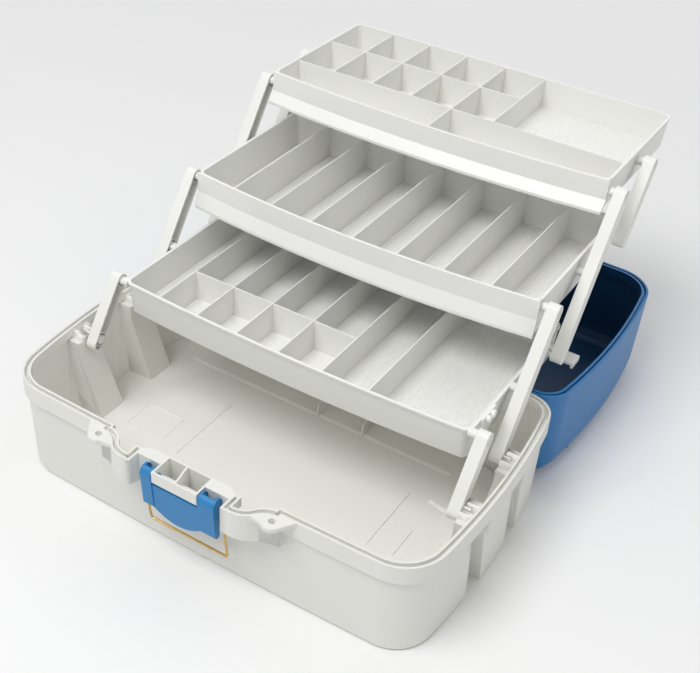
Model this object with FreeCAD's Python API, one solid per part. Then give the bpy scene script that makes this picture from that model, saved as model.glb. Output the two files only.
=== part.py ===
"""Three-tray cantilever tackle box, opened, with every moulded piece as its own solid.

Frame: X along the length (+X is the right-hand end), Y from front to back, Z up.
The origin is the centre of the base's underside. All sizes are in millimetres.
The box is modelled open: trays fanned out on their arms and the lid turned over behind.
"""
import FreeCAD, Part
import math
import os

V = FreeCAD.Vector
X_AXIS = V(1, 0, 0)

# Fits shared by every piece
pin_clearance = 0.05      # radial, every pin in its bore
face_gap = 0.3            # between faces of different moving pieces

# Length of every tray, on which the ends of the base, the lid and the arms stand
tray_half_length = 192.0
arm_room = 5.8            # from a tray's end to its arms
end_room = 29.8           # from a tray's end to the base's lip

# Base tub, its half length taken at the corners of the lip
base_half_length = tray_half_length + end_room
base_half_depth = 133.9
base_height = 108.5
base_end_bow = 10.6
base_front_bow = 3.8
base_front_radius = 44.0
base_back_radius = 28.8
base_wall = 2.8
base_floor = 2.8
base_draft = 1.8
skirt_drop = 19.0         # the lip's outer band hangs this far below the rim
skirt_step = 3.0          # and stands this far out from the wall below it
lip_width = 2.2
rim_width = 7.6           # from the outer lip to the inner lip
groove_depth = 4.0
ledge_drop = 10.0
base_foot_radius = 4.0

# Linkage, as a side view in Y and Z
open_angle = 55.0         # of every arm above the horizontal
fold_angle = 97.3         # travel from open to stacked
front_pivot_y = base_half_depth - 165.0
pivot_z = base_height - 10.7
lower_spacing = 77.8      # between the front and rear lower arms
upper_spacing = 76.8      # between the middle and upper arms
lower_link = 63.4         # base to lower tray
middle_link = 77.4        # lower tray to middle tray
upper_link = 80.6         # middle tray to upper tray

# Arms
arm_inner_x = tray_half_length + arm_room
arm_depth = 11.5          # along X
arm_width = 13.4
arm_web = 2.2
arm_flange = 1.7
arm_hub_radius = 4.6
arm_rib = 1.4
arm_tail = 12.5           # of an arm beyond its lowest pivot
stub_radius = 3.0
stub_length = 7.2
tray_pin_radius = 2.6
tray_boss_radius = 4.3
tray_pin_bite = 8.2       # of a tray pin in its arm

# Posts in the base that carry the lower arms
post_half_width = 12.5
post_gap = 1.0            # from an arm's outer face
post_reach = 26.0
lug_radius = 6.0
lug_offset = 7.0
flute_radius = 6.5
flute_skin = 3.2
flute_top = base_height - 28.5

# Trays
tray_wall = 1.9
tray_floor = 2.0
tray_draft = 2.6
tray_bead = 1.0
tray_bead_height = 2.6
tray_corner = 9.0
divider_top = 1.3
divider_foot = 2.2
divider_drop = 0.8
lower_depth, lower_height, lower_bow = 196.8, 35.5, 6.7
middle_depth, middle_height, middle_bow = 182.4, 41.2, 12.5
upper_depth, upper_height, upper_bow = 173.3, 33.8, 10.4
lower_pivot_in = 3.8      # of the lower tray's front pivot behind its front corner
lower_pivot_drop = 2.9    # and below its rim
lower_rear_in = 167.0
lower_rear_drop = 10.3
middle_pivot_in = 7.2
middle_pivot_drop = 8.9
upper_pivot_in = 5.8
upper_pivot_drop = 13.4
fascia_band = 21.0        # upright part of a tray's front apron
fascia_edge = 3.0
fascia_wall = 2.0
middle_fascia, middle_flare = 38.6, 5.3
upper_fascia, upper_flare = 33.4, 8.4
lower_dividers = (-148.0, -101.0, -54.0, -6.0, 42.0, 91.0)
lower_row = 57.1
middle_pitch = 48.0
upper_pitch = 47.8
upper_rows = (43.5, 109.5)

# Lid
lid_half_length = base_half_length - 1.0
lid_end_bow = 11.5
lid_open_angle = 181.2
lid_wall = 2.4
lid_side_height = 83.5
lid_side_draft = 2.2
crown_inset = 32.0
crown_rise = 27.0
crown_steps = 5
hinge_back = 0.6          # of the hinge axis behind the base's lip
hinge_x = 120.0
knuckle_radius = 4.6
base_knuckle = 12.0
lid_knuckle = 15.0
hinge_pin_radius = 2.2

# Latch, on the middle of the base's front
latch_x = -4.3
bay_reach = 24.7          # in front of the lip's corners
bay_front = -base_half_depth - bay_reach
notch_half_width = 49.2
bay_flat = 9.0
bay_half_width = 96.0
bay_drop = 50.0
bay_wall = 2.4
notch_back = -base_half_depth - 0.9
notch_shelf = 8.0
box_half_width = 24.4
box_wall = 2.0
box_depth = 34.0
box_band = 12.0
box_step = 6.5
ear_offset = 93.7
ear_y = -base_half_depth - 12.5
ear_radius = 10.0
ear_hole_radius = 3.2
ear_thickness = 4.0
gusset_depth = 26.0
gusset_wall = 2.4
lever_nose = 6.8
lever_pivot_y = bay_front - 0.6 + lever_nose
lever_pivot_drop = 7.2
lever_pin_radius = 2.6
rail_width = 15.5
rail_length = 39.0
rail_depth = 10.0
plate_drop = 8.7
plate_depth = 4.0
bail_drop = 19.3
bail_set = 1.9            # of the bail's axis behind the lever's
bail_wire = 1.2
bail_length = 44.0
bail_bend = 3.0
bail_bite = 6.0

# Carry handle, flat in the lid's top
handle_half_length = 76.0
handle_width = 22.0
handle_reach = 40.0
handle_thickness = 4.6
handle_recess = 5.4
handle_margin = 5.0
handle_pin_radius = 1.4
handle_pin_length = 14.0

# Worked out from the sizes above
arm_outer_x = arm_inner_x + arm_depth
post_x = arm_outer_x + post_gap
hinge_y = base_half_depth + hinge_back
lever_pivot_z = base_height - lever_pivot_drop
rail_x = box_half_width + face_gap * 2
bail_z = lever_pivot_z - bail_drop
bail_y = lever_pivot_y + bail_set
bail_x = rail_x + rail_width + bail_bend + face_gap


def along(angle, length):
    """Return the (y, z) step of a link of that length at that angle."""
    turn = math.radians(angle)
    return length * math.cos(turn), length * math.sin(turn)



def link_end(start, length):
    """Return the (y, z) end of an opened link that starts at a point."""
    step = along(open_angle, length)
    return start[0] + step[0], start[1] + step[1]


def beyond(point, spacing):
    """Return the (y, z) point at that spacing behind another at the same height."""
    return point[0] + spacing, point[1]


# Pivots of the opened linkage and the front rim corner of each tray, as (y, z)
base_front = (front_pivot_y, pivot_z)
base_rear = beyond(base_front, lower_spacing)
lower_front = link_end(base_front, lower_link)
lower_mid = beyond(lower_front, lower_spacing)
lower_rim = (lower_front[0] - lower_pivot_in, lower_front[1] + lower_pivot_drop)
lower_rear = (lower_rim[0] + lower_rear_in, lower_rim[1] - lower_rear_drop)
middle_front = link_end(lower_mid, middle_link)
middle_mid = link_end(lower_rear, middle_link)
middle_rear = beyond(middle_mid, upper_spacing)
middle_rim = (middle_front[0] - middle_pivot_in, middle_front[1] + middle_pivot_drop)
upper_front = link_end(middle_mid, upper_link)
upper_rear = beyond(upper_front, upper_spacing)
upper_rim = (upper_front[0] - upper_pivot_in, upper_front[1] + upper_pivot_drop)


# Plain shapes
def block(x0, x1, y0, y1, z0, z1):
    """Return a box between two corners."""
    return Part.makeBox(x1 - x0, y1 - y0, z1 - z0, V(x0, y0, z0))


def rod(x0, x1, y, z, radius):
    """Return a cylinder along X."""
    return Part.makeCylinder(radius, x1 - x0, V(x0, y, z), X_AXIS)


def post(x, y, z0, z1, radius):
    """Return an upright cylinder."""
    return Part.makeCylinder(radius, z1 - z0, V(x, y, z0))


def side_prism(points, x0, x1):
    """Return a solid along X from a closed side view of (y, z) points."""
    corners = [V(x0, y, z) for y, z in points]
    return Part.Face(Part.makePolygon(corners + corners[:1])).extrude(V(x1 - x0, 0, 0))


def plan_prism(edges, z0, z1):
    """Return an upright solid from the closed plan of edges drawn at Z 0."""
    face = Part.Face(Part.Wire(edges))
    face.translate(V(0, 0, z0))
    return face.extrude(V(0, 0, z1 - z0))


def mirrored(shape):
    """Return the shape reflected to the other end of the box."""
    return shape.mirror(V(0, 0, 0), X_AXIS)


def both_ends(shapes):
    """Return right-hand shapes together with their left-hand reflections."""
    return shapes + [mirrored(shape) for shape in shapes]


def turned(shape, angle, y, z):
    """Return a copy turned about the X direction through (y, z)."""
    copy = shape.copy()
    copy.rotate(V(0, y, z), X_AXIS, angle)
    return copy


def joined(first, others):
    """Return one solid, or the common compound, of shapes that overlap."""
    return first.multiFuse(others).removeSplitter()


def line(x0, y0, x1, y1):
    """Return a straight edge in plan."""
    return Part.makeLine(V(x0, y0, 0), V(x1, y1, 0))


def arc(x0, y0, x1, y1, x2, y2):
    """Return an arc edge in plan through three points."""
    return Part.Arc(V(x0, y0, 0), V(x1, y1, 0), V(x2, y2, 0)).toShape()


def bowed(x0, y0, x1, y1, bow_x, bow_y):
    """Return an edge whose middle stands out by that much, or a straight one."""
    if bow_x == 0 and bow_y == 0:
        return line(x0, y0, x1, y1)
    return arc(x0, y0, (x0 + x1) / 2 + bow_x, (y0 + y1) / 2 + bow_y, x1, y1)


def s_curve(x0, y0, x1, y1):
    """Return two arcs that leave and arrive parallel to X."""
    xm, ym = (x0 + x1) / 2, (y0 + y1) / 2
    half_x, half_y = xm - x0, ym - y0
    radius = (half_x ** 2 + half_y ** 2) / (2 * half_y)
    turn = math.asin(half_x / radius) / 2
    dx, dy = radius * math.sin(turn), radius * (1 - math.cos(turn))
    return [arc(x0, y0, x0 + dx, y0 + dy, xm, ym), arc(xm, ym, x1 - dx, y1 - dy, x1, y1)]


class Outline:
    """A rounded rectangle in plan whose sides bow gently outwards."""

    def __init__(self, half_length, front, back, front_bow, end_bow, front_radius, back_radius):
        self.half_length = half_length
        self.front = front
        self.back = back
        self.front_bow = front_bow
        self.end_bow = end_bow
        self.front_radius = front_radius
        self.back_radius = back_radius

    def wire(self, inset, z):
        """Return the outline moved inwards, at a height."""
        half = self.half_length - inset
        front = self.front + inset
        back = self.back - inset
        middle = (front + back) / 2
        edges = [
            bowed(-half, front, half, front, 0, -self.front_bow),
            bowed(half, front, half, back, self.end_bow, 0),
            line(half, back, -half, back),
            bowed(-half, back, -half, front, -self.end_bow, 0),
        ]
        prism = Part.Face(Part.Wire(edges)).extrude(V(0, 0, 1))
        for x, y, radius in (
            (half, front, self.front_radius),
            (-half, front, self.front_radius),
            (half, back, self.back_radius),
            (-half, back, self.back_radius),
        ):
            corner = [e for e in prism.Edges if (e.CenterOfMass - V(x, y, 0.5)).Length < 0.01]
            prism = prism.makeFillet(max(radius - inset, 1.0), corner)
        foot = min(prism.Faces, key=lambda face: face.CenterOfMass.z)
        ring = foot.OuterWire.copy()
        ring.translate(V(0, 0, z))
        return ring

    def slab(self, z0, z1, inset=0.0):
        """Return an upright solid of the outline."""
        return Part.Face(self.wire(inset, z0)).extrude(V(0, 0, z1 - z0))

    def tapered(self, sections):
        """Return a solid through (inset, z) sections."""
        return Part.makeLoft([self.wire(inset, z) for inset, z in sections], True, True)


def divider_x(x, y0, y1, z_top, z_foot):
    """Return a drafted divider that runs front to back."""
    top, foot = divider_top / 2, divider_foot / 2
    corners = [V(x - foot, y0, z_foot), V(x + foot, y0, z_foot), V(x + top, y0, z_top), V(x - top, y0, z_top)]
    return Part.Face(Part.makePolygon(corners + corners[:1])).extrude(V(0, y1 - y0, 0))


def divider_y(y, x0, x1, z_top, z_foot):
    """Return a drafted divider that runs along the tray."""
    top, foot = divider_top / 2, divider_foot / 2
    return side_prism([(y - foot, z_foot), (y + foot, z_foot), (y + top, z_top), (y - top, z_top)], x0, x1)


# Base tub
def base_outline():
    """Return the outline of the base's lip."""
    return Outline(
        base_half_length,
        -base_half_depth,
        base_half_depth,
        base_front_bow,
        base_end_bow,
        base_front_radius,
        base_back_radius,
    )


def bay_plan(inset):
    """Return the plan of the right half of the latch bay, its middle at X 0."""
    inner = notch_half_width + inset
    front = bay_front + inset
    lip = notch_back + 2 * inset
    far = bay_half_width - inset
    flat = notch_half_width + bay_flat
    back = notch_back + rim_width + inset
    return (
        [line(inner, back, inner, front), line(inner, front, flat, front)]
        + s_curve(flat, front, far, lip)
        + [line(far, lip, far, back), line(far, back, inner, back)]
    )


def bay_side(inset):
    """Return the side view that slopes the bay's underside back into the wall."""
    front = bay_front + inset
    back = notch_back + rim_width + inset
    low = base_height - bay_drop + inset
    knee = low + (notch_back - bay_front)
    return [(back, base_height), (front - 1, base_height), (front - 1, knee), (notch_back, low), (back, low)]


def bay_lobes(inset):
    """Return both halves of the bay, solid."""
    half = plan_prism(bay_plan(inset), base_height - bay_drop - 1, base_height)
    half = half.common(side_prism(bay_side(inset), 0, base_half_length))
    return at_latch([half, mirrored(half)])


def at_latch(shapes):
    """Move shapes drawn about X 0 to the latch's middle."""
    for shape in shapes:
        shape.translate(V(latch_x, 0, 0))
    return shapes


def ears():
    """Return both drilled ears with the gussets under them."""
    top, under = base_height, base_height - ear_thickness
    pad = post(ear_offset, ear_y, under, top, ear_radius)
    flange = plan_prism(
        [
            line(notch_half_width + bay_flat, bay_front + 1, ear_offset, ear_y - ear_radius),
            line(ear_offset, ear_y - ear_radius, ear_offset + ear_radius, ear_y),
            line(ear_offset + ear_radius, ear_y, ear_offset + ear_radius, notch_back),
            line(ear_offset + ear_radius, notch_back, notch_half_width + bay_flat, notch_back),
            line(notch_half_width + bay_flat, notch_back, notch_half_width + bay_flat, bay_front + 1),
        ],
        under,
        top,
    )
    reach = ear_y - ear_radius / 2
    side = [(notch_back, under), (reach, under), (reach + 2, under - gusset_depth / 2)]
    side.append((notch_back, under - gusset_depth))
    gussets = []
    for edge in (ear_offset - ear_radius + 1, ear_offset + ear_radius - 1 - gusset_wall):
        gussets.append(side_prism(side, edge, edge + gusset_wall))
    ear = joined(pad, [flange] + gussets)
    hole = post(ear_offset, ear_y, under - 1, top + 1, ear_hole_radius)
    return at_latch([ear, mirrored(ear)]), at_latch([hole, mirrored(hole)])


def latch_box():
    """Return the two-pocket box in the notch, with its S-curved middle rib."""
    low = base_height - box_depth
    step_top = base_height - box_band
    outer = block(-box_half_width, box_half_width, bay_front, notch_back + 1, low, base_height)
    outer = outer.cut(block(-base_half_length, base_half_length, bay_front - 1, bay_front + box_step, 0, step_top))
    inner_x = box_half_width - box_wall
    inner_back = notch_back - box_wall
    upper = block(-inner_x, inner_x, bay_front + box_wall, inner_back, step_top + box_wall, base_height + 1)
    lower = block(-inner_x, inner_x, bay_front + box_step + box_wall, inner_back, low + box_wall, base_height)
    rib_front, rib_back = -6.0, 2.5
    half_rib = box_wall / 2
    left = s_curve_y(rib_front - half_rib, bay_front + 1, rib_back - half_rib, notch_back)
    right = s_curve_y(rib_front + half_rib, bay_front + 1, rib_back + half_rib, notch_back)
    ends = [
        line(rib_front - half_rib, bay_front + 1, rib_front + half_rib, bay_front + 1),
        line(rib_back - half_rib, notch_back, rib_back + half_rib, notch_back),
    ]
    rib = plan_prism(Part.__sortEdges__(left + right + ends), low, base_height).common(outer)
    shell = outer.cut(upper.fuse(lower))
    bore = rod(-box_half_width - 1, box_half_width + 1, lever_pivot_y, lever_pivot_z, lever_pin_radius + pin_clearance)
    bore = bore.cut(block(-inner_x, inner_x, bay_front, notch_back, 0, base_height))
    return at_latch([joined(shell, [rib]).cut(bore)])[0]


def s_curve_y(x0, y0, x1, y1):
    """Return two arcs that leave and arrive parallel to Y."""
    edges = s_curve(y0, x0, y1, x1)
    swapped = [edge.mirror(V(0, 0, 0), V(1, -1, 0)) for edge in edges]
    return swapped


def arm_posts():
    """Return the right-hand posts, their bores and slots, and the flutes behind them."""
    solids = []
    cuts = []
    reach = post_x + post_reach
    bore_end = arm_outer_x + stub_length + face_gap
    for y, z in (base_front, base_rear):
        column = block(post_x, reach, y - post_half_width, y + post_half_width, 1, z)
        lugs = [rod(post_x, reach, y + side * lug_offset, z, lug_radius) for side in (-1, 1)]
        solids.append(joined(column, lugs))
        cuts.append(rod(post_x - 1, bore_end, y, z, stub_radius + pin_clearance))
        cuts.append(block(post_x - 1, bore_end, y - stub_radius + 0.5, y + stub_radius - 0.5, z, z + 12))
        flute_x = post_x + flute_skin + flute_radius
        cuts.append(post(flute_x, y, -1, flute_top, flute_radius))
        cuts.append(block(flute_x, reach + 20, y - flute_radius, y + flute_radius, -1, flute_top))
    return solids, cuts


def base_knuckles():
    """Return the base's hinge knuckles, their bores and the clearance for the lid's knuckles."""
    solids = []
    bores = []
    clear = []
    half_lid = lid_knuckle / 2
    for centre in (-hinge_x, hinge_x):
        for side in (-1, 1):
            near = centre + side * (half_lid + face_gap)
            far = near + side * base_knuckle
            x0, x1 = min(near, far), max(near, far)
            barrel = rod(x0, x1, hinge_y, base_height, knuckle_radius)
            middle = base_half_depth - lip_width / 2
            foot = side_prism(
                [
                    (hinge_y, base_height - knuckle_radius + 0.1),
                    (hinge_y, base_height - 0.2),
                    (middle, base_height - 0.2),
                    (middle, base_height - skirt_drop / 2),
                ],
                x0,
                x1,
            )
            solids.append(barrel.fuse(foot))
        span = half_lid + base_knuckle + 2 * face_gap
        bores.append(rod(centre - span, centre + span, hinge_y, base_height, hinge_pin_radius + pin_clearance))
        clear.append(
            rod(centre - half_lid - face_gap, centre + half_lid + face_gap, hinge_y, base_height, knuckle_radius + 0.6)
        )
    return solids, bores, clear


def base_cavity(outline):
    """Return the room inside the base, its lip groove included."""
    inset = skirt_step + base_wall
    cavity = outline.tapered([(inset + base_draft, base_floor), (inset, base_height - ledge_drop)])
    cavity = joined(cavity, [outline.slab(base_height - ledge_drop, base_height + 1, rim_width)])
    cavity = joined(cavity, bay_lobes(bay_wall))
    groove_z = base_height - groove_depth
    groove = outline.slab(groove_z, base_height + 1, lip_width)
    groove = groove.cut(outline.slab(groove_z - 1, base_height + 2, rim_width - lip_width))
    reach = bay_half_width + ear_radius + lip_width
    bay = block(latch_x - reach, latch_x + reach, -2 * base_half_depth, 0, 0, 2 * base_height)
    return cavity, groove.cut(bay)


def latch_notch():
    """Return the room that is cut out of the bay for the latch."""
    left, right = latch_x - notch_half_width, latch_x + notch_half_width
    return block(left, right, -2 * base_half_depth, notch_back, base_height - bay_drop, base_height + 1)


def notch_ledge():
    """Return the flat shelf along the back of the notch."""
    half = notch_half_width + bay_wall
    low = base_height - base_wall
    return block(latch_x - half, latch_x + half, notch_back, notch_back + notch_shelf, low, base_height)


def base_tub():
    """Return the moulded base."""
    outline = base_outline()
    skirt_z = base_height - skirt_drop
    body = outline.tapered([(skirt_step + base_draft, 0), (skirt_step, skirt_z)])
    foot_edges = [e for e in body.Edges if e.BoundBox.ZMax < 0.01]
    body = body.makeFillet(base_foot_radius, foot_edges)
    outer = joined(body, [outline.slab(skirt_z, base_height)]).cut(latch_notch())
    ear_solids, ear_holes = ears()
    outer = joined(outer, bay_lobes(0) + ear_solids)
    columns, column_cuts = arm_posts()
    columns = both_ends([column.common(outer).cut(Part.makeCompound(column_cuts)) for column in columns])
    knuckles, bores, clear = base_knuckles()
    for cutter in both_ends(column_cuts) + ear_holes + clear + bores:
        outer = outer.cut(cutter)
    for knuckle in knuckles:
        outer = joined(outer, [knuckle.cut(Part.makeCompound(bores))])
    for room in base_cavity(outline):
        outer = outer.cut(room)
    for added in (columns, [notch_ledge()], [latch_box()]):
        outer = joined(outer, added)
    return outer


# Trays, drawn about their front rim corner line: Y back from it and Z up from the rim
def tray_shell(depth, height, bow):
    """Return a tray's outside and its open inside."""
    outline = Outline(tray_half_length, 0, depth, bow, 0, tray_corner, tray_corner)
    side = [(tray_bead + tray_draft, -height), (tray_bead, -tray_bead_height)]
    outside = joined(outline.tapered(side), [outline.slab(-tray_bead_height, 0)])
    thick = tray_bead + tray_wall
    inside = outline.tapered([(thick + tray_draft, tray_floor - height), (thick, 0)])
    return outside, inside


def fascia(bow, total, flare):
    """Return the curved apron in front of a tray, upright first and then flared forward."""
    knee = total - fascia_edge
    sections = []
    for z, forward in ((0, 0), (-fascia_band, 0), (-knee, flare), (-total, flare)):
        front, back = -forward, fascia_wall - forward
        half = tray_half_length
        edges = [
            arc(-half, front, 0, front - bow, half, front),
            line(half, front, half, back),
            arc(half, back, 0, back - bow, -half, back),
            line(-half, back, -half, front),
        ]
        ring = Part.Wire(edges)
        ring.translate(V(0, 0, z))
        sections.append(ring)
    return Part.makeLoft(sections, True, True)


def tray_pins(pivots):
    """Return the bosses and pins that stand out of both ends at (y, z) pivots."""
    pieces = []
    under_rim = block(0, 2 * tray_half_length, -tray_half_length, 2 * tray_half_length, -tray_half_length, 0)
    for y, z in pivots:
        boss = rod(tray_half_length - tray_bead - tray_wall, arm_inner_x - face_gap, y, z, tray_boss_radius)
        pieces.append(boss.common(under_rim))
        pieces.append(rod(tray_half_length, arm_inner_x + tray_pin_bite, y, z, tray_pin_radius))
    return both_ends(pieces)


def finish_tray(outside, inside, dividers, extras, rim):
    """Join a tray's shell, dividers and outer features and move it to its rim."""
    inner = [divider.common(inside) for divider in dividers]
    tray = joined(outside.cut(inside), inner)
    tray = joined(tray, [extra.cut(inside) for extra in extras])
    tray.translate(V(0, rim[0], rim[1]))
    return tray


def offset_from(rim, pivots):
    """Return pivots relative to a tray's rim corner."""
    return [(y - rim[0], z - rim[1]) for y, z in pivots]


def tray_lower():
    """Return the lower tray: two rows, with full-depth bins at both ends."""
    outside, inside = tray_shell(lower_depth, lower_height, lower_bow)
    top, foot = -divider_drop, tray_floor - lower_height - 1
    reach = lower_depth + lower_bow
    dividers = [divider_x(x, -lower_bow, reach, top, foot) for x in lower_dividers]
    dividers.append(divider_y(lower_row, lower_dividers[0], lower_dividers[-2], top, foot))
    extras = tray_pins(offset_from(lower_rim, [lower_front, lower_mid, lower_rear]))
    return finish_tray(outside, inside, dividers, extras, lower_rim)


def tray_middle():
    """Return the middle tray: eight full-depth compartments and a flared apron."""
    outside, inside = tray_shell(middle_depth, middle_height, middle_bow)
    top, foot = -divider_drop, tray_floor - middle_height - 1
    reach = middle_depth + middle_bow
    count = int(tray_half_length * 2 / middle_pitch)
    first = -(count - 2) * middle_pitch / 2
    dividers = [divider_x(first + n * middle_pitch, -middle_bow, reach, top, foot) for n in range(count - 1)]
    extras = tray_pins(offset_from(middle_rim, [middle_front, middle_mid, middle_rear]))
    extras.append(fascia(middle_bow, middle_fascia, middle_flare))
    return finish_tray(outside, inside, dividers, extras, middle_rim)


def tray_upper():
    """Return the upper tray: squares, front troughs, one large bin and a flared apron."""
    outside, inside = tray_shell(upper_depth, upper_height, upper_bow)
    top, foot = -divider_drop, tray_floor - upper_height - 1
    front_row, back_row = upper_rows
    last = upper_pitch
    dividers = [divider_x(last - n * upper_pitch, front_row, upper_depth, top, foot) for n in range(1, 5)]
    dividers.append(divider_x(last, front_row, upper_depth, top, foot))
    dividers.append(divider_x(0, -upper_bow, front_row, top, foot))
    dividers.append(divider_y(front_row, -tray_half_length, tray_half_length, top, foot))
    dividers.append(divider_y(back_row, -tray_half_length, last, top, foot))
    extras = tray_pins(offset_from(upper_rim, [upper_front, upper_rear]))
    extras.append(fascia(upper_bow, upper_fascia, upper_flare))
    return finish_tray(outside, inside, dividers, extras, upper_rim)


# Arms, drawn along +Y from their first pivot and then turned up
def bar(x0, x1, start, end, half_width):
    """Return a flat bar with round ends, from start to end along Y."""
    body = block(x0, x1, start, end, -half_width, half_width)
    return joined(body, [rod(x0, x1, start, 0, half_width), rod(x0, x1, end, 0, half_width)])


def arm(first, lengths, tail, has_stub):
    """Return a right-hand channel arm through pivots at those distances."""
    half = arm_width / 2
    last = lengths[-1]
    web_x = arm_outer_x - arm_web
    start = half - tail
    shape = bar(arm_inner_x, arm_outer_x, start, last, half)
    shape = shape.cut(bar(arm_inner_x - 1, web_x, start, last, half - arm_flange))
    extras = []
    bores = []
    for place in [0.0] + list(lengths):
        extras.append(rod(arm_inner_x, web_x + 0.5, place, 0, arm_hub_radius))
        for side in (-1, 1):
            y = place + side * (arm_hub_radius + 2)
            rib = block(arm_inner_x + 2, web_x + 0.5, y - arm_rib / 2, y + arm_rib / 2, -half + 1, half - 1)
            extras.append(rib.common(bar(arm_inner_x, arm_outer_x, start, last, half - 0.5)))
        if place > 0 or not has_stub:
            depth = arm_inner_x + tray_pin_bite + face_gap
            bores.append(rod(arm_inner_x - 1, depth, place, 0, tray_pin_radius + pin_clearance))
    if has_stub:
        extras.append(rod(web_x, arm_outer_x + stub_length, 0, 0, stub_radius))
    shape = joined(shape, extras)
    dimples = [bar(arm_outer_x - 0.7, arm_outer_x + 1, last - 3, last + 1.5, 3.2)]
    shape = shape.cut(Part.makeCompound(bores + dimples))
    shape.translate(V(0, first[0], first[1]))
    return turned(shape, open_angle, first[0], first[1])


def arms():
    """Return the four right-hand arms by name."""
    return {
        "arm_front_lower": arm(base_front, [lower_link], arm_tail, True),
        "arm_rear_lower": arm(base_rear, [lower_link, lower_link + middle_link], arm_width / 2, True),
        "arm_middle": arm(lower_rear, [middle_link, middle_link + upper_link], arm_tail, False),
        "arm_upper": arm(middle_rear, [upper_link], arm_width / 2, False),
    }


# Lid, drawn closed on the base and then turned over
def opened(shape):
    """Return the shape turned with the lid to its open place."""
    return turned(shape, -lid_open_angle, hinge_y, base_height)


def lid_outline():
    """Return the outline of the lid's lip."""
    return Outline(
        lid_half_length,
        -base_half_depth,
        base_half_depth,
        base_front_bow,
        lid_end_bow,
        base_front_radius,
        base_back_radius,
    )


def crown_sections(inset, drop):
    """Return the (inset, z) sections of the lid's side and rounded shoulder."""
    sections = [(inset, base_height + face_gap)]
    side_top = base_height + lid_side_height - drop
    for step in range(crown_steps + 1):
        turn = math.radians(90.0 * step / crown_steps)
        sections.append(
            (
                inset + lid_side_draft + (crown_inset - lid_side_draft) * (1 - math.cos(turn)),
                side_top + crown_rise * math.sin(turn),
            )
        )
    return sections


def below_table(level):
    """Return everything under a level, with the lid open."""
    far = 4 * base_half_depth
    return block(-2 * base_half_length, 2 * base_half_length, -far, far, level - 200, level)


def lid_knuckles():
    """Return the lid's knuckles and the clearance for the base's knuckles, lid open."""
    solids = []
    clear = []
    half = lid_knuckle / 2
    for centre in (-hinge_x, hinge_x):
        barrel = rod(centre - half, centre + half, hinge_y, base_height, knuckle_radius)
        foot = side_prism(
            [
                (hinge_y, base_height - knuckle_radius),
                (hinge_y, base_height),
                (hinge_y + lip_width + hinge_back, base_height - 1),
                (hinge_y + lip_width + hinge_back, base_height - skirt_drop / 2),
                (hinge_y + hinge_back, base_height - skirt_drop / 2),
            ],
            centre - half,
            centre + half,
        )
        solids.append(barrel.fuse(foot))
        for side in (-1, 1):
            near = centre + side * half
            far = near + side * (base_knuckle + 3 * face_gap)
            clear.append(rod(min(near, far), max(near, far), hinge_y, base_height, knuckle_radius + 0.6))
    return solids, clear


def handle_y():
    """Return where the handle's middle lies with the lid open."""
    return hinge_y + hinge_back + base_half_depth


def handle_pocket(grow):
    """Return the recess for the folded handle, lid open."""
    half = handle_half_length + handle_margin + grow
    reach = handle_reach / 2 + handle_margin + grow
    top = face_gap + handle_recess + grow
    return block(-half, half, handle_y() - reach, handle_y() + reach, face_gap - 1, top)


def handle_pin_place():
    """Return the (y, z) axis of the handle's pins, lid open."""
    return handle_y() + handle_reach / 2 - handle_thickness / 2, face_gap + handle_recess / 2


def lid():
    """Return the moulded lid, open."""
    outline = lid_outline()
    shell = outline.tapered(crown_sections(0, 0))
    hollow = outline.tapered(crown_sections(lid_wall, lid_wall))
    band = outline.slab(base_height + face_gap, base_height + ledge_drop, lip_width)
    ledge = band.cut(outline.slab(base_height, base_height + 2 * ledge_drop, rim_width - 1))
    groove = outline.slab(base_height, base_height + groove_depth, lip_width).cut(
        outline.slab(base_height - 1, base_height + ledge_drop, rim_width - lip_width - 1)
    )
    hollow = opened(hollow).cut(below_table(face_gap + lid_wall)).cut(handle_pocket(lid_wall))
    body = opened(shell).cut(below_table(face_gap)).cut(hollow)
    knuckles, clear = lid_knuckles()
    catch = opened(latch_catch())
    ear = opened(lid_ears())
    body = joined(body, [opened(ledge)]).cut(opened(groove))
    body = joined(body.cut(Part.makeCompound(clear)), knuckles + [catch, ear])
    pin_y, pin_z = handle_pin_place()
    inner = handle_half_length + handle_margin
    sockets = both_ends([rod(inner - 1, inner + handle_pin_length, pin_y, pin_z, handle_pin_radius + pin_clearance)])
    bosses = both_ends([block(inner, inner + 12, pin_y - 5, pin_y + 5, face_gap, face_gap + handle_recess + lid_wall)])
    body = joined(body, bosses)
    bores = [
        rod(x - 2 * lid_knuckle, x + 2 * lid_knuckle, hinge_y, base_height, hinge_pin_radius + pin_clearance)
        for x in (-hinge_x, hinge_x)
    ]
    return body.cut(Part.makeCompound([handle_pocket(0)] + sockets + bores))


def latch_catch():
    """Return the catch that the bail hooks over, lid closed."""
    hook_z = bail_z + bail_length - bail_wire - face_gap
    low = base_height + ledge_drop
    front = bail_y + 1.0
    back = -base_half_depth + 2
    half = bail_x - 6
    return side_prism(
        [(back, low - 6), (front, low), (front, hook_z + 4), (front + 3, hook_z + 4), (front + 5, hook_z), (back, hook_z)],
        latch_x - half,
        latch_x + half,
    )


def lid_ears():
    """Return the lid's drilled ears, which meet the base's ears when it is closed."""
    low = base_height + face_gap
    solids = []
    for side in (-1, 1):
        x = latch_x + side * ear_offset
        pad = post(x, ear_y, low, low + ear_thickness, ear_radius)
        tongue = block(x - ear_radius, x + ear_radius, ear_y, -base_half_depth, low, low + ear_thickness)
        hole = post(x, ear_y, low - 1, low + ear_thickness + 1, ear_hole_radius)
        solids.append(pad.fuse(tongue).cut(hole))
    return Part.makeCompound(solids)


def lid_hinge_pin(centre):
    """Return one hinge pin of the lid."""
    half = lid_knuckle / 2 + base_knuckle
    return rod(centre - half, centre + half, hinge_y, base_height, hinge_pin_radius)


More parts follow.
